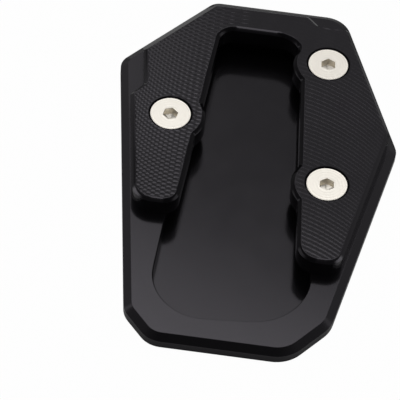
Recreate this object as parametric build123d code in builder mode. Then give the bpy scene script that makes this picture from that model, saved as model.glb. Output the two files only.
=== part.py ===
from build123d import *
import os
from math import atan2, degrees, radians, tan

# Foot enlarger for a motorcycle side stand. The stand's own foot lies in the pocket of the base plate,
# and a horseshoe clamp plate laps over its rim, held down by three countersunk screws.
# Millimetres, +Z up from the ground, +Y to the back where the stand's leg leans in, +X to the right.
# The origin is on the ground under the middle of the base plate.

# Base plate outline: an irregular octagon, longer on the right, wider behind the middle
base_length = 130.4
base_width = 85.8
back_left_x = -17.4
back_right_x = 23.0
right_shoulder_y = 14.7
left_shoulder_y = 36.5
right_toe_x = 29.1
right_toe_y = -52.5
left_toe_x = -29.5
left_toe_y = -56.0
front_right_x = 18.3
front_left_x = -21.4
back_left_radius = 4.6
back_right_radius = 8.1
shoulder_radius = 5.5
front_right_radius = 10.4
front_left_radius = 7.5

# Base plate section
base_thickness = 6.5
bevel_width = 2.2
bevel_height = 1.5
under_bevel = 2.4

# Pocket for the stand's foot, narrowing to the back and rounded in front
pocket_depth = 5.0
pocket_centre_x = -0.63
pocket_width = 40.65
pocket_taper = 3.0
pocket_front_land = 9.5
pocket_front_slant = 5.0
pocket_left_radius = 15.0
pocket_right_radius = 17.0
pocket_back_radius = 8.0
pocket_back_lap = 3.6
pocket_edge_break = 0.3
lug_radius = 6.5
cutter_radius = 2.0

# Clamp plate: how far its wall stands in from the base outline
clamp_thickness = 6.0
side_ledge = 2.5
right_ledge = 3.0
back_ledge = 7.0
clamp_chamfer = 1.0
upper_left_bevel = 3.6
upper_left_slope = 45.0
top_corner_radius = 0.6
clamp_point_radius = 6.0

# Clamp plate: stepped corners that leave the base's two back shoulders bare
left_notch_ledge = 6.7
left_notch_length = 21.2
right_notch_ledge = 10.4
right_notch_length = 18.0

# Clamp plate: opening round the stand's leg, narrowing to the back
opening_centre_x = -1.5
opening_width = 31.85
opening_taper = 4.25
opening_left_radius = 5.0
opening_right_radius = 8.5
back_bar = 9.4
left_leg_end_y = -21.0
right_leg_end_y = -35.5
leg_left_radius = 6.3
leg_right_radius = 4.8
boss_radius = 10.5

# Countersunk hex-socket screws, M6
left_screw = (-25.05, 12.3)
back_screw = (19.45, 39.5)
right_screw = (23.15, -6.8)
left_screw_turn = 19.0
back_screw_turn = 35.0
right_screw_turn = 34.0
screw_diameter = 6.0
screw_length = 12.0
head_diameter = 12.0
head_edge = 0.2
head_angle = 90.0
head_recess = 0.25
socket_flats = 4.0
socket_depth = 2.6
tip_chamfer = 0.6
hole_clearance = 0.3
thread_clearance = 0.05
seat_clearance = 0.02

# Heights and places that follow from the sizes above
half_length = base_length / 2
half_width = base_width / 2
clamp_top = base_thickness + clamp_thickness
corner_break = clamp_chamfer + top_corner_radius
beyond = base_length + base_width

back_left = (back_left_x, half_length)
back_right = (back_right_x, half_length)
right_shoulder = (half_width, right_shoulder_y)
right_toe = (right_toe_x, right_toe_y)
front_right = (front_right_x, -half_length)
front_left = (front_left_x, -half_length)
left_toe = (left_toe_x, left_toe_y)
left_shoulder = (-half_width, left_shoulder_y)
right_corners = [back_right, right_shoulder, right_toe, front_right]
left_corners = [front_left, left_toe, left_shoulder, back_left]
outline = right_corners + left_corners
right_radii = [back_right_radius, shoulder_radius, front_right_radius, front_right_radius]
left_radii = [front_left_radius, front_left_radius, shoulder_radius, back_left_radius]

screw_points = [left_screw, back_screw, right_screw]
screw_turns = [left_screw_turn, back_screw_turn, right_screw_turn]
cone_slope = tan(radians(head_angle / 2))
head_radius = head_diameter / 2
shank_radius = screw_diameter / 2 - thread_clearance
clearance_radius = screw_diameter / 2 + hole_clearance
countersink_radius = head_radius + (head_edge + head_recess) * cone_slope + seat_clearance

wide_ledges = [(right_shoulder, right_toe, right_ledge), (back_left, back_right, back_ledge)]
notches = [
    (left_shoulder, left_toe, left_notch_ledge, left_notch_length),
    (back_right, back_left, right_notch_ledge, right_notch_length),
]

opening_sides = (opening_centre_x, opening_width, opening_taper)
opening_back_y = half_length - back_ledge - back_bar
pocket_sides = (pocket_centre_x, pocket_width, pocket_taper)
pocket_back_y = opening_back_y + pocket_back_lap
pocket_front_y = -half_length + pocket_front_land


def side_points(centre_x, width, taper, y):
    """Left and right points at y of a slot that is width wide at y = 0 and narrows to the back."""
    half = width / 2 - y * tan(radians(taper))
    return (centre_x - half, y), (centre_x + half, y)


def slanted(point, slant):
    """The point moved along Y for a front edge that rises to the right by slant degrees."""
    x, y = point
    return x, y + (x - pocket_centre_x) * tan(radians(slant))


def along(start, end):
    """Location at start, with local X along the edge to end and local Y to its left."""
    angle = degrees(atan2(end[1] - start[1], end[0] - start[0]))
    return Location((start[0], start[1], 0), (0, 0, angle))


# Base plate: rounded corners, with a bevel all round on top and below
with BuildPart() as base_plate:
    with BuildSketch():
        with BuildLine():
            FilletPolyline(*outline, radius=right_radii + left_radii, close=True)
        make_face()
    extrude(amount=base_thickness)
    top_face = base_plate.faces().sort_by(Axis.Z)[-1]
    chamfer(top_face.edges(), length=bevel_width, length2=bevel_height, reference=top_face)
    chamfer(base_plate.faces().sort_by(Axis.Z)[0].edges(), length=under_bevel)

    # Pocket, with a lug left standing round each screw and no corner tighter than the cutter
    front_left_point, front_right_point = side_points(*pocket_sides, pocket_front_y)
    back_left_point, back_right_point = side_points(*pocket_sides, pocket_back_y)
    with BuildSketch(Plane.XY.offset(base_thickness)):
        with BuildLine():
            FilletPolyline(
                slanted(front_left_point, pocket_front_slant),
                slanted(front_right_point, pocket_front_slant),
                back_right_point,
                back_left_point,
                radius=[pocket_left_radius, pocket_right_radius, pocket_back_radius, pocket_back_radius],
                close=True,
            )
        make_face()
        with Locations(*screw_points):
            Circle(lug_radius, mode=Mode.SUBTRACT)
        offset(amount=-cutter_radius)
        offset(amount=cutter_radius)
    extrude(amount=-pocket_depth, mode=Mode.SUBTRACT)
    chamfer(base_plate.faces().sort_by(Axis.Z)[-1].inner_wires().edges(), length=pocket_edge_break)

    # Tapped holes, right through
    with Locations(*[(x, y, base_thickness) for x, y in screw_points]):
        Hole(radius=screw_diameter / 2)
base_plate.part.label = "base_plate"

# Opening of the clamp plate: a slot that narrows to the back, with a boss standing in round each screw
with BuildSketch() as opening:
    with BuildLine():
        front_left_point, front_right_point = side_points(*opening_sides, -beyond)
        back_left_point, back_right_point = side_points(*opening_sides, opening_back_y)
        FilletPolyline(
            front_left_point,
            front_right_point,
            back_right_point,
            back_left_point,
            radius=[0, 0, opening_right_radius, opening_left_radius],
            close=True,
        )
    make_face()
    with Locations(*screw_points):
        Circle(boss_radius, mode=Mode.SUBTRACT)
    offset(amount=-cutter_radius)
    offset(amount=cutter_radius)

# Clamp plate: the base outline drawn in, stepped at the back corners and open in front
with BuildPart() as clamp_plate:
    with BuildSketch(Plane.XY.offset(base_thickness)) as clamp_outline:
        with BuildLine():
            Polyline(*outline, close=True)
        make_face()
        offset(amount=-side_ledge, kind=Kind.INTERSECTION)
        for start, end, ledge in wide_ledges:
            with Locations(along(start, end)):
                Rectangle(beyond, 2 * ledge, mode=Mode.SUBTRACT)
        for start, end, ledge, length in notches:
            with Locations(along(start, end)):
                Polygon(
                    (-length, 0),
                    (length, 0),
                    (length - ledge, ledge),
                    (-length, ledge),
                    align=None,
                    mode=Mode.SUBTRACT,
                )
        fillet(clamp_outline.vertices().sort_by(Axis.X)[:-1], radius=corner_break)
        fillet(clamp_outline.vertices().sort_by(Axis.X)[-1], radius=clamp_point_radius)
        add(opening.sketch, mode=Mode.SUBTRACT)
        with Locations((opening_centre_x, left_leg_end_y)):
            Rectangle(beyond, beyond, align=(Align.MAX, Align.MAX), mode=Mode.SUBTRACT)
        with Locations((opening_centre_x, right_leg_end_y)):
            Rectangle(beyond, beyond, align=(Align.MIN, Align.MAX), mode=Mode.SUBTRACT)
        for corner, radius in [(0, leg_left_radius), (-1, leg_right_radius)]:
            leg_ends = clamp_outline.edges().filter_by(Axis.X).sort_by(Axis.Y)[:2]
            fillet([leg_end.vertices().sort_by(Axis.X)[corner] for leg_end in leg_ends], radius=radius)
    extrude(amount=clamp_thickness)
    chamfer(clamp_plate.faces().sort_by(Axis.Z)[-1].edges(), length=clamp_chamfer)

    # Wide bevel along the upper left edge
    bevel_foot = Location((0, side_ledge, clamp_top - upper_left_bevel), (upper_left_slope, 0, 0))
    split(bisect_by=Plane(along(back_left, left_shoulder) * bevel_foot), keep=Keep.BOTTOM)
    with Locations(*[(x, y, clamp_top) for x, y in screw_points]):
        CounterSinkHole(
            radius=clearance_radius,
            counter_sink_radius=countersink_radius,
            depth=clamp_thickness,
            counter_sink_angle=head_angle,
        )
clamp_plate.part.label = "clamp_plate"

# One screw, drawn with the middle of its head's top at the origin
with BuildPart() as screw:
    with BuildSketch(Plane.XZ):
        with BuildLine():
            Polyline(
                (0, 0),
                (head_radius, 0),
                (head_radius, -head_edge),
                (shank_radius, -head_edge - (head_radius - shank_radius) / cone_slope),
                (shank_radius, -screw_length + tip_chamfer),
                (shank_radius - tip_chamfer, -screw_length),
                (0, -screw_length),
                close=True,
            )
        make_face()
    revolve(axis=Axis.Z)
    with BuildSketch():
        RegularPolygon(radius=socket_flats / 2, side_count=6, major_radius=False)
    extrude(amount=-socket_depth, mode=Mode.SUBTRACT)

# The three screws, seated in the clamp plate's countersinks
with BuildPart() as clamp_screws:
    for (x, y), turn in zip(screw_points, screw_turns):
        with Locations(Location((x, y, clamp_top - head_recess), (0, 0, turn))):
            add(screw.part)
clamp_screws.part.label = "clamp_screws"

os.makedirs("parts", exist_ok=True)
export_step(base_plate.part, "parts/base_plate.step")
export_step(clamp_plate.part, "parts/clamp_plate.step")
export_step(clamp_screws.part, "parts/clamp_screws.step")
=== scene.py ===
import math
from functools import reduce
from itertools import cycle
import bmesh
import bpy
import numpy as np
from mathutils import Matrix, Vector
from mathutils.geometry import delaunay_2d_cdt


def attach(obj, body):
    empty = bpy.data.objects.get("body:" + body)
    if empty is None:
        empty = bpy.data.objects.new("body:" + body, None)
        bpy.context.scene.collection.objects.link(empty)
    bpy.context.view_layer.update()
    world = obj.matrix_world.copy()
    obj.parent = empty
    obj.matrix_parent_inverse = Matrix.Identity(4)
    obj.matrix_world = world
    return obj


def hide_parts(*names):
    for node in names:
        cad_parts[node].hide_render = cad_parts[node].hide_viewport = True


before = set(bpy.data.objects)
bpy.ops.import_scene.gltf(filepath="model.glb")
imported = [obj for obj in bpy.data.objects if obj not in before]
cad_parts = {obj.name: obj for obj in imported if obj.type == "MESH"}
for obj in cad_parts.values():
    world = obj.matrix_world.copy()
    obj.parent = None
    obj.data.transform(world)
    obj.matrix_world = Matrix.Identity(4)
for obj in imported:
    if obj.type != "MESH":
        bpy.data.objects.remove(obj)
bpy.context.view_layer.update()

# Black foot enlarger of a side stand: a base plate, a clamp plate with a grooved top and three screws.
# Metres, in the frame's axes: +Z up from the ground, +Y to the back and +X to the right.
MM = 0.001
SAME_PLACE = 0.001 * MM
SHARP_ANGLE = math.radians(18.0)

# Camera, fitted to the photograph
CAMERA_PLACE = Vector((7.6, -523.2, 641.2)) * MM
CAMERA_AIM = Vector((-12.61, -18.95, 12.5)) * MM
CAMERA_ROLL = math.radians(5.67)
CAMERA_LENS = 252.0
CAMERA_SENSOR = 36.0
CAMERA_CLIP = 0.01

# Soft boxes, hung level: middle and size in X and Y, and radiance, where 1 is a white surface
BOX_HEIGHT = 3.0
BACK_BOX_PLACE = (0.0, 0.84)
BACK_BOX_SIZE = (1.6, 2.6)
BACK_BOX_LIGHT = 1.4
BACK_BOX_TURN = math.radians(-18.0)
HEAD_BOX_PLACE = (0.0, 1.45)
HEAD_BOX_SIZE = (1.4, 0.9)
HEAD_BOX_LIGHT = 2.4
LEFT_BOX_PLACE = (-1.4, 2.9)
LEFT_BOX_SIZE = (2.4, 1.4)
LEFT_BOX_LIGHT = 0.42

# Sky: radiance by direction, where X, Y and Z are the parts of a unit vector
SKY_LEVEL = 0.19
SKY_TO_BACK = 0.25
SKY_LEAST = 0.05
SKY_AT_HORIZON = 0.6
HORIZON_Z = (0.0, 0.25)

# Glow low in the sky, round the front and brighter at the sides
GLOW_FRONT = 0.4
GLOW_SIDE = 1.5
GLOW_SIDE_X = (0.55, 0.8)
GLOW_FOOT_Z = (0.05, 0.2)
GLOW_TOP_Z = (0.42, 0.55)
GLOW_BACK_Y = (0.1, 0.4)

# Floor: its shade, darker behind the object, and the share of plain white in what the camera sees
FLOOR_SIZE = 6.0
FLOOR_DROP = 0.02 * MM
FLOOR_SHADE = 0.52
FLOOR_BACK_SHADE = 0.25
FLOOR_BACK_Y = (70.0 * MM, 88.0 * MM)
FLOOR_GLOW = 0.985

# Black finish, with noise in lumps a metre
BLACK_COOL = (0.0034, 0.0032, 0.0040)
BLACK_WARM = (0.0048, 0.0045, 0.0050)
BLACK_LUMPS = 60.0
BLACK_IOR = 1.52
MIRROR_TINT = (0.95, 0.90, 1.0)
BASE_ROUGHNESS = (0.125, 0.145)
CLAMP_ROUGHNESS = (0.10, 0.12)
ROUGHNESS_LUMPS = 120.0
GRAIN_LUMPS = 5000.0
GRAIN_HEIGHT = 0.0006 * MM

# Sheen of the black finish, the share of it kept low down (in the pocket and on the low walls), which
# makes them darker there, and where that ends
SHEEN = 0.5
LOW_SHEEN = 0.88
LOW_SHEEN_Z = (4.6 * MM, 4.9 * MM)

# Painted shade: share of the sheen taken away in the groove floors, on the opening's inward chamfers and
# in the countersinks, to darken them
PAINTED_SHADE_MARK = "dull"
GROOVE_PAINTED_SHADE = 0.85
CHAMFER_PAINTED_SHADE = 0.75
COUNTERSINK_PAINTED_SHADE = 1.0

# Bright steel
STEEL_DARK = (0.945, 0.897, 0.815)
STEEL_LIGHT = (0.975, 0.933, 0.850)
STEEL_LUMPS = 500.0
STEEL_ROUGHNESS = (0.28, 0.33)
STEEL_ROUGHNESS_LUMPS = 150.0

# Range that holds most of a noise
NOISE_MIDDLE = (0.3, 0.7)

# Arc grooves of the clamp plate's top, left by both edges of a wide cutter fed along Y
GROOVE_PITCH = 1.525 * MM
GROOVE_DEPTH = 0.047 * MM
CUTTER_RADIUS = 52.5 * MM
CUTTER_LINE_X = 0.6 * MM
TRAILING_PHASE = 0.07

# Shares of that depth on the left and right legs and to the back
LEADING_SHARE_LEFT = 1.2
TRAILING_SHARE_LEFT = 0.8
TRAILING_SHARE_RIGHT = 0.07
SIDE_FADE = 24.0 * MM
FRONT_DEPTH_RIGHT = 0.36
BACK_DEPTH_LEFT = 0.7
BACK_DEPTH_RIGHT = 0.9
BACK_FROM_Y = -15.0 * MM
BACK_FADE = 45.0 * MM

# Mesh of the grooved top, plain along its rim
GRID_STEP_X = 0.28 * MM
GRID_STEP_Y = 0.19 * MM
GRID_MARGIN = 0.12 * MM
RIM_FADE = 0.3 * MM
MESH_EPSILON = 1e-6
POINTS_AT_ONCE = 4000

# Telling the clamp plate's faces apart: by the parts of their normals, by place and in groove depths
CHAMFER_LEAST_UP = 0.3
CHAMFER_MOST_UP = 0.95
FACING_BACK = 0.15
FACING_IN = 0.12
OPENING_X = -1.5 * MM
COUNTERSINK_REACH = 7.5 * MM
TOP_DEPTHS = 1.5

# Screws
SCREW_STEPS = 96
HEAD_RADIUS = 6.0 * MM
HEAD_EDGE = 0.2 * MM
HEAD_ROUND = 0.08 * MM
ROUND_STEPS = 4
RING_PITCH = 0.9 * MM
RING_HEIGHT = 0.006 * MM
RING_PROFILE = (0, 1, 2, 1)
SHANK_RADIUS = 2.95 * MM
SCREW_LENGTH = 12.0 * MM
TIP_CHAMFER = 0.6 * MM
SOCKET_FLATS = 4.0 * MM
SOCKET_DEPTH = 2.6 * MM
SOCKET_POINT = 0.62 * MM
SOCKET_BREAK = 0.08 * MM
SOCKET_RIM = 2.45 * MM
THREAD_PITCH = 1.0 * MM
THREAD_DEPTH = 0.5 * MM
THREAD_STEPS = 6


def welded(node):
    """Mesh of a node of the frame with its split corners joined."""
    mesh = bmesh.new()
    mesh.from_mesh(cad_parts[node].data)
    bmesh.ops.remove_doubles(mesh, verts=mesh.verts, dist=SAME_PLACE)
    return mesh


def new_object(name, data):
    """Object of that data, in the scene."""
    made = bpy.data.objects.new(name, data)
    bpy.context.scene.collection.objects.link(made)
    return made


def new_piece(name, node, material, mesh):
    """Object of that mesh, smooth but for its sharp edges, standing for a node of the frame."""
    data = bpy.data.meshes.new(name)
    mesh.to_mesh(data)
    mesh.free()
    if "custom_normal" in data.attributes:
        data.attributes.remove(data.attributes["custom_normal"])
    data.shade_smooth()
    data.set_sharp_from_angle(angle=SHARP_ANGLE)
    data.materials.append(material)
    piece = new_object(name, data)
    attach(piece, "root")
    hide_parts(node)
    return piece


def smoothstep(value):
    """The value eased from 0 to 1, and held there beyond."""
    t = np.clip(value, 0.0, 1.0)
    return t * t * (3.0 - 2.0 * t)


# Shader nodes
def coordinates(tree, kind):
    """X, Y and Z of the point on an object, or Generated ones of a direction in the sky."""
    place = tree.nodes.new("ShaderNodeTexCoord")
    split = tree.nodes.new("ShaderNodeSeparateXYZ")
    tree.links.new(place.outputs[kind], split.inputs["Vector"])
    return split.outputs


def noise(tree, lumps, detail):
    """Noise over the object's own coordinates, in lumps a metre."""
    place = tree.nodes.new("ShaderNodeTexCoord")
    texture = tree.nodes.new("ShaderNodeTexNoise")
    texture.inputs["Scale"].default_value = lumps
    texture.inputs["Detail"].default_value = detail
    tree.links.new(place.outputs["Object"], texture.inputs["Vector"])
    return texture.outputs["Fac"]


def ramp(tree, value, span, low, high, easing="SMOOTHSTEP"):
    """A value that goes from low to high as the given one crosses the span."""
    node = tree.nodes.new("ShaderNodeMapRange")
    node.interpolation_type = easing
    node.inputs["From Min"].default_value = span[0]
    node.inputs["From Max"].default_value = span[1]
    node.inputs["To Min"].default_value = low
    node.inputs["To Max"].default_value = high
    tree.links.new(value, node.inputs["Value"])
    return node.outputs["Result"]


def spread(tree, value, low, high):
    """The middle range of a noise stretched to run from low to high."""
    return ramp(tree, value, NOISE_MIDDLE, low, high, easing="LINEAR")


def maths(tree, operation, *values):
    """One operation on sockets and numbers."""
    node = tree.nodes.new("ShaderNodeMath")
    node.operation = operation
    for socket, value in zip(node.inputs, values):
        if isinstance(value, float):
            socket.default_value = value
        else:
            tree.links.new(value, socket)
    return node.outputs["Value"]


def product(tree, *values):
    """All the values multiplied."""
    return reduce(lambda first, second: maths(tree, "MULTIPLY", first, second), values)


def colour_between(tree, value, first, second):
    """Colour that goes from the first to the second with the value."""
    node = tree.nodes.new("ShaderNodeMix")
    node.data_type = "RGBA"
    node.inputs["A"].default_value = (*first, 1.0)
    node.inputs["B"].default_value = (*second, 1.0)
    tree.links.new(value, node.inputs["Factor"])
    return node.outputs["Result"]


def bump(tree, shader, value, height):
    """Grain on the shader's surface, from a value and its height in metres."""
    node = tree.nodes.new("ShaderNodeBump")
    node.inputs["Distance"].default_value = height
    tree.links.new(value, node.inputs["Height"])
    tree.links.new(node.outputs["Normal"], shader.inputs["Normal"])


# Materials
def new_material(name):
    """Material with its node tree and its shader."""
    material = bpy.data.materials.new(name)
    material.use_nodes = True
    tree = material.node_tree
    return material, tree, tree.nodes["Principled BSDF"]


def black_anodise(name, roughness):
    """Deep black oxide skin that drifts in roughness and tint, with less sheen low down, and painted
    shade where it is marked.
    """
    material, tree, shader = new_material(name)
    tint = colour_between(tree, noise(tree, BLACK_LUMPS, detail=3.0), BLACK_COOL, BLACK_WARM)
    rough = spread(tree, noise(tree, ROUGHNESS_LUMPS, detail=3.0), *roughness)
    # Painted shade: the marked share takes sheen away, so the marked places render darker
    painted_shade = tree.nodes.new("ShaderNodeAttribute")
    painted_shade.attribute_name = PAINTED_SHADE_MARK
    left = maths(tree, "MULTIPLY_ADD", painted_shade.outputs["Fac"], -SHEEN, SHEEN)
    low = ramp(tree, coordinates(tree, "Object")["Z"], LOW_SHEEN_Z, LOW_SHEEN, 1.0)
    shader.inputs["IOR"].default_value = BLACK_IOR
    shader.inputs["Specular Tint"].default_value = (*MIRROR_TINT, 1.0)
    tree.links.new(tint, shader.inputs["Base Color"])
    tree.links.new(rough, shader.inputs["Roughness"])
    tree.links.new(product(tree, left, low), shader.inputs["Specular IOR Level"])
    bump(tree, shader, noise(tree, GRAIN_LUMPS, detail=2.0), GRAIN_HEIGHT)
    return material


def turned_steel(name):
    """Bright turned stainless steel with a faint warm cast."""
    material, tree, shader = new_material(name)
    tint = colour_between(tree, noise(tree, STEEL_LUMPS, detail=3.0), STEEL_DARK, STEEL_LIGHT)
    rough = spread(tree, noise(tree, STEEL_ROUGHNESS_LUMPS, detail=2.0), *STEEL_ROUGHNESS)
    shader.inputs["Metallic"].default_value = 1.0
    tree.links.new(tint, shader.inputs["Base Color"])
    tree.links.new(rough, shader.inputs["Roughness"])
    return material


def white_floor(name):
    """Matt grey, darker behind the object, which the camera sees nearly as plain white."""
    material, tree, shader = new_material(name)
    tree.nodes.remove(shader)
    path = tree.nodes.new("ShaderNodeLightPath")
    matt = tree.nodes.new("ShaderNodeBsdfDiffuse")
    glow = tree.nodes.new("ShaderNodeEmission")
    both = tree.nodes.new("ShaderNodeMixShader")
    shade = ramp(tree, coordinates(tree, "Object")["Y"], FLOOR_BACK_Y, FLOOR_SHADE, FLOOR_BACK_SHADE)
    share = maths(tree, "MULTIPLY", path.outputs["Is Camera Ray"], FLOOR_GLOW)
    tree.links.new(shade, matt.inputs["Color"])
    for socket, part in zip(both.inputs, (share, matt.outputs["BSDF"], glow.outputs["Emission"])):
        tree.links.new(part, socket)
    tree.links.new(both.outputs["Shader"], tree.nodes["Material Output"].inputs["Surface"])
    return material


# Screws
def solids_of(mesh):
    """Corner coordinates of each separate solid in a mesh, in the mesh's own order."""
    seen = set()
    for first in mesh.verts:
        if first in seen:
            continue
        seen.add(first)
        group = [first]
        for vert in group:
            beside = [edge.other_vert(vert) for edge in vert.link_edges]
            fresh = [other for other in beside if other not in seen]
            seen.update(fresh)
            group.extend(fresh)
        yield np.array([tuple(vert.co) for vert in group])


def screw_seats():
    """Middle of the head's top, and angle of a corner of the socket, of each screw in the frame."""
    mesh = welded("clamp_screws")
    seats = []
    for corners in solids_of(mesh):
        middle = (corners.min(0) + corners.max(0)) / 2
        top = Vector((middle[0], middle[1], corners[:, 2].max()))
        flat = corners[np.abs(corners[:, 2] - top.z) < SAME_PLACE][:, :2] - middle[:2]
        corner = flat[np.linalg.norm(flat, axis=1).argmin()]
        seats.append((top, math.atan2(corner[1], corner[0])))
    mesh.free()
    return seats


def hex_radius(angles):
    """Distance from the middle of the socket to its wall, with a corner at angle 0."""
    return SOCKET_FLATS / 2 / np.cos(angles % (math.pi / 3) - math.pi / 6)


def thread_radius(angles, z):
    """Radius of the screw's thread, a helix with flanks at equal slopes."""
    turn = (z / THREAD_PITCH - angles / (2 * math.pi)) % 1.0
    return SHANK_RADIUS - THREAD_DEPTH * np.abs(2.0 * turn - 1.0)


def screw_rings(angles):
    """Radii over the angles, and height, of rings from the socket's bottom over the head to the tip."""
    socket = hex_radius(angles)
    rings = [(socket, -SOCKET_DEPTH), (socket, -SOCKET_BREAK), (socket + SOCKET_BREAK, 0.0)]
    turned = np.arange(SOCKET_RIM, HEAD_RADIUS - HEAD_ROUND, RING_PITCH / len(RING_PROFILE))
    for radius, share in zip(turned, cycle(RING_PROFILE)):
        rings.append((radius, -RING_HEIGHT * share))
    for bend in np.linspace(0.0, math.pi / 2, ROUND_STEPS):
        radius = HEAD_RADIUS - HEAD_ROUND * (1.0 - math.sin(bend))
        rings.append((radius, -HEAD_ROUND * (1.0 - math.cos(bend))))
    neck_z = -HEAD_EDGE - (HEAD_RADIUS - SHANK_RADIUS)
    tip_z = TIP_CHAMFER - SCREW_LENGTH
    rings.append((HEAD_RADIUS, -HEAD_EDGE))
    rings.append((SHANK_RADIUS, neck_z))
    for z in np.arange(neck_z - THREAD_PITCH / 2, tip_z, -THREAD_PITCH / THREAD_STEPS):
        rings.append((thread_radius(angles, z), z))
    rings.append((SHANK_RADIUS - THREAD_DEPTH, tip_z))
    rings.append((SHANK_RADIUS - TIP_CHAMFER, -SCREW_LENGTH))
    return rings


def add_screw(mesh, top, turn):
    """One screw, with the middle of its head at top and a corner of its socket at the angle turn."""
    angles = np.arange(SCREW_STEPS) * 2 * math.pi / SCREW_STEPS
    loops = []
    for radii, z in screw_rings(angles):
        ring = np.stack([radii * np.cos(angles + turn), radii * np.sin(angles + turn)], axis=1)
        loops.append([mesh.verts.new(top + Vector((x, y, z))) for x, y in ring])
    for upper, lower in zip(loops, loops[1:]):
        for i in range(SCREW_STEPS):
            mesh.faces.new((upper[i - 1], lower[i - 1], lower[i], upper[i]))
    bottom = mesh.verts.new(top - Vector((0.0, 0.0, SOCKET_DEPTH + SOCKET_POINT)))
    for i in range(SCREW_STEPS):
        mesh.faces.new((loops[0][i - 1], loops[0][i], bottom))
    mesh.faces.new(loops[-1])


def socket_screws(material, seats):
    """The three screws, with turned heads, sockets and threads."""
    mesh = bmesh.new()
    for top, turn in seats:
        add_screw(mesh, top, turn)
    bmesh.ops.recalc_face_normals(mesh, faces=mesh.faces)
    return new_piece("socket_screws", "clamp_screws", material, mesh)


# Clamp plate
def rim_of(mesh, faces):
    """Corners in X and Y, and edges as pairs of them, of the border of a set of faces."""
    chosen = set(faces)
    edges = [e for e in mesh.edges if sum(f in chosen for f in e.link_faces) == 1]
    verts = list(dict.fromkeys(v for e in edges for v in e.verts))
    index = {v: i for i, v in enumerate(verts)}
    points = np.array([(v.co.x, v.co.y) for v in verts])
    pairs = np.array([[index[v] for v in e.verts] for e in edges])
    return points, pairs


def inside(points, starts, ends):
    """True for each point inside the closed loops that the segments make."""
    x, y = points[:, :1], points[:, 1:]
    crosses = (starts[:, 1] > y) != (ends[:, 1] > y)
    rise = np.where(starts[:, 1] == ends[:, 1], 1.0, ends[:, 1] - starts[:, 1])
    at_x = starts[:, 0] + (y - starts[:, 1]) * (ends[:, 0] - starts[:, 0]) / rise
    return (crosses & (x < at_x)).sum(1) % 2 == 1


def rim_distance(points, starts, ends):
    """Distance of each point from the nearest segment."""
    run = ends - starts
    offset = points[:, None] - starts
    along = np.clip((offset * run).sum(2) / (run * run).sum(1), 0.0, 1.0)
    return np.linalg.norm(offset - along[..., None] * run, axis=2).min(1)


def in_blocks(function, points, starts, ends):
    """The function over all points, a block at a time to spare memory."""
    firsts = range(0, len(points), POINTS_AT_ONCE)
    return np.concatenate([function(points[i:i + POINTS_AT_ONCE], starts, ends) for i in firsts])


def groove_drop(x, y):
    """How far the cutter's leading and trailing edges leave the top below its highest crests."""
    arc = np.sqrt(CUTTER_RADIUS ** 2 - (x - CUTTER_LINE_X) ** 2)
    leading = np.cos(2 * np.pi * (y - arc) / GROOVE_PITCH)
    trailing = np.cos(2 * np.pi * ((y + arc) / GROOVE_PITCH - TRAILING_PHASE))
    to_right = smoothstep((x - CUTTER_LINE_X) / SIDE_FADE + 0.5)
    to_back = smoothstep((y - BACK_FROM_Y) / BACK_FADE)
    left = 1.0 + (BACK_DEPTH_LEFT - 1.0) * to_back
    right = FRONT_DEPTH_RIGHT + (BACK_DEPTH_RIGHT - FRONT_DEPTH_RIGHT) * to_back
    lead = left * LEADING_SHARE_LEFT * (1.0 - to_right) + right * to_right
    trail = left * TRAILING_SHARE_LEFT * (1.0 - to_right) + TRAILING_SHARE_RIGHT * to_right
    return GROOVE_DEPTH * (lead * (1.0 - leading) + trail * (1.0 - trailing)) / 4.0


def grooved_top(rim, pairs):
    """Points, their depths below the top, and triangles of the grooved face inside the rim."""
    starts, ends = rim[pairs[:, 0]], rim[pairs[:, 1]]
    low, high = rim.min(0), rim.max(0)
    columns = np.arange(low[0], high[0], GRID_STEP_X)
    rows = np.arange(low[1], high[1], GRID_STEP_Y)
    grid = np.stack(np.meshgrid(columns, rows), axis=-1).reshape(-1, 2)
    grid = grid[in_blocks(inside, grid, starts, ends)]
    grid = grid[in_blocks(rim_distance, grid, starts, ends) > GRID_MARGIN]

    flat = [Vector(point) for point in np.vstack([rim, grid]) / MM]
    made = delaunay_2d_cdt(flat, pairs.tolist(), [], 0, MESH_EPSILON)
    points = np.array([tuple(point) for point in made[0]]) * MM
    faces = np.array(made[2])
    faces = faces[in_blocks(inside, points[faces].mean(1), starts, ends)]
    share = smoothstep(in_blocks(rim_distance, points, starts, ends) / RIM_FADE)
    return points, groove_drop(points[:, 0], points[:, 1]) * share, faces


def head_distance(places, seats):
    """Distance of each place, seen from above, from the middle of the nearest screw head."""
    heads = np.array([tuple(top) for top, turn in seats])
    return np.linalg.norm(places[:, None, :2] - heads[:, :2], axis=2).min(1)


def soften_rim(data, top_z, seats):
    """Shades the edge of the top round, but for the countersinks and the edges that face back."""
    places = np.array([tuple(v.co) for v in data.vertices])
    on_top = top_z - places[:, 2] < SAME_PLACE
    soft = on_top & (head_distance(places, seats) > COUNTERSINK_REACH)
    sloped = [f for f in data.polygons if f.normal.z < CHAMFER_MOST_UP]
    to_back = {key: f.normal.y for f in sloped for key in f.edge_keys}
    for edge in data.edges:
        on_rim = edge.use_edge_sharp and all(soft[i] for i in edge.vertices)
        if on_rim and to_back.get(edge.key, 1.0) < FACING_BACK:
            edge.use_edge_sharp = False


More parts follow.
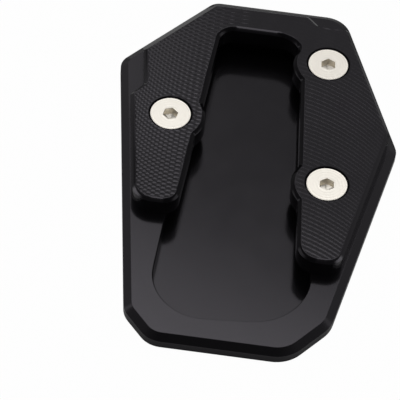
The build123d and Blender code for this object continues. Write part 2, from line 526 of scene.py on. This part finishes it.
def paint_shade_marks(data, top_z, seats):
    """Marks painted shade: the share of sheen taken away in the groove floors, on the opening's chamfer
    and in the countersinks.
    """
    places = np.array([tuple(v.co) for v in data.vertices])
    depths = (top_z - places[:, 2]) / GROOVE_DEPTH
    to_front = 1.0 - smoothstep((places[:, 1] - BACK_FROM_Y) / BACK_FADE)
    painted_shade = np.where(depths < TOP_DEPTHS, depths ** 2 * to_front * GROOVE_PAINTED_SHADE, 0.0)
    chamfers = [f for f in data.polygons if CHAMFER_LEAST_UP < f.normal.z < CHAMFER_MOST_UP]
    centres = np.array([tuple(f.center) for f in chamfers])
    for face, distance in zip(chamfers, head_distance(centres, seats)):
        inwards = math.copysign(1.0, OPENING_X - face.center.x)
        if distance < COUNTERSINK_REACH:
            painted_shade[list(face.vertices)] = COUNTERSINK_PAINTED_SHADE
        elif face.normal.x * inwards > FACING_IN:
            painted_shade[list(face.vertices)] = CHAMFER_PAINTED_SHADE
    mark = data.attributes.new(PAINTED_SHADE_MARK, "FLOAT", "POINT")
    mark.data.foreach_set("value", painted_shade)


def clamp_plate(material, seats):
    """The clamp plate with its flat top cut again in crossed arc grooves."""
    mesh = welded("clamp_plate")
    top_z = max(v.co.z for v in mesh.verts)
    top = [f for f in mesh.faces if all(top_z - v.co.z < SAME_PLACE for v in f.verts)]
    points, depths, faces = grooved_top(*rim_of(mesh, top))
    bmesh.ops.delete(mesh, geom=top, context="FACES_ONLY")
    verts = [mesh.verts.new((x, y, top_z - depth)) for (x, y), depth in zip(points, depths)]
    for a, b, c in faces:
        mesh.faces.new((verts[a], verts[b], verts[c]))
    bmesh.ops.remove_doubles(mesh, verts=mesh.verts, dist=SAME_PLACE)
    loose = [v for v in mesh.verts if not v.link_faces]
    bmesh.ops.delete(mesh, geom=loose, context="VERTS")
    bmesh.ops.recalc_face_normals(mesh, faces=mesh.faces)
    piece = new_piece("clamp_plate_cut", "clamp_plate", material, mesh)
    soften_rim(piece.data, top_z, seats)
    paint_shade_marks(piece.data, top_z, seats)
    return piece


# Base plate
def base_plate(material):
    """The base plate as it is in the frame, in its finish."""
    return new_piece("base_plate_finished", "base_plate", material, welded("base_plate"))


# Stage
def soft_box(name, place, size, radiance, turn=0.0):
    """Level soft box of a given radiance, turned about its middle and hidden from the camera itself."""
    data = bpy.data.lights.new(name, "AREA")
    data.shape = "RECTANGLE"
    data.size, data.size_y = size
    data.energy = radiance * math.pi * size[0] * size[1]
    lamp = new_object(name, data)
    lamp.location = (*place, BOX_HEIGHT)
    lamp.rotation_euler.z = turn
    lamp.visible_camera = False


def sky():
    """Dim room, lighter to the back and low round the sides and front; the camera sees it white."""
    world = bpy.data.worlds.new("studio")
    world.use_nodes = True
    bpy.context.scene.world = world
    tree = world.node_tree
    path = tree.nodes.new("ShaderNodeLightPath")
    towards = coordinates(tree, "Generated")
    aside = maths(tree, "ABSOLUTE", towards["X"])
    level = maths(tree, "MULTIPLY_ADD", towards["Y"], SKY_TO_BACK, SKY_LEVEL)
    level = maths(tree, "MAXIMUM", level, SKY_LEAST)
    room = product(tree, level, ramp(tree, towards["Z"], HORIZON_Z, SKY_AT_HORIZON, 1.0))
    glow = product(
        tree,
        ramp(tree, aside, GLOW_SIDE_X, GLOW_FRONT, GLOW_SIDE),
        ramp(tree, towards["Z"], GLOW_FOOT_Z, 0.0, 1.0),
        ramp(tree, towards["Z"], GLOW_TOP_Z, 1.0, 0.0),
        ramp(tree, towards["Y"], GLOW_BACK_Y, 1.0, 0.0),
    )
    seen = maths(tree, "MAXIMUM", maths(tree, "ADD", room, glow), path.outputs["Is Camera Ray"])
    shade = tree.nodes["Background"]
    shade.inputs["Color"].default_value = (1.0, 1.0, 1.0, 1.0)
    tree.links.new(seen, shade.inputs["Strength"])


def stage():
    """Floor, sky and soft boxes."""
    half = FLOOR_SIZE / 2
    corners = [(-half, -half, 0.0), (half, -half, 0.0), (half, half, 0.0), (-half, half, 0.0)]
    data = bpy.data.meshes.new("floor")
    data.from_pydata(corners, [], [(0, 1, 2, 3)])
    data.materials.append(white_floor("floor_white"))
    floor = new_object("floor", data)
    floor.location.z = -FLOOR_DROP
    sky()
    soft_box("back_box", BACK_BOX_PLACE, BACK_BOX_SIZE, BACK_BOX_LIGHT, BACK_BOX_TURN)
    soft_box("head_box", HEAD_BOX_PLACE, HEAD_BOX_SIZE, HEAD_BOX_LIGHT)
    soft_box("left_box", LEFT_BOX_PLACE, LEFT_BOX_SIZE, LEFT_BOX_LIGHT)


def camera():
    """Camera at the photograph's place, turned about its own axis by its roll."""
    data = bpy.data.cameras.new("camera")
    data.lens = CAMERA_LENS
    data.sensor_width = CAMERA_SENSOR
    data.clip_start = CAMERA_CLIP
    holder = new_object("camera", data)
    aim = (CAMERA_AIM - CAMERA_PLACE).to_track_quat("-Z", "Y").to_matrix().to_4x4()
    holder.matrix_world = Matrix.Translation(CAMERA_PLACE) @ aim @ Matrix.Rotation(CAMERA_ROLL, 4, "Z")
    bpy.context.scene.camera = holder


stage()
camera()
screws = screw_seats()
base_plate(black_anodise("base_black", BASE_ROUGHNESS))
clamp_plate(black_anodise("clamp_black", CLAMP_ROUGHNESS), screws)
socket_screws(turned_steel("bright_steel"), screws)
bpy.context.scene.view_settings.view_transform = "Standard"
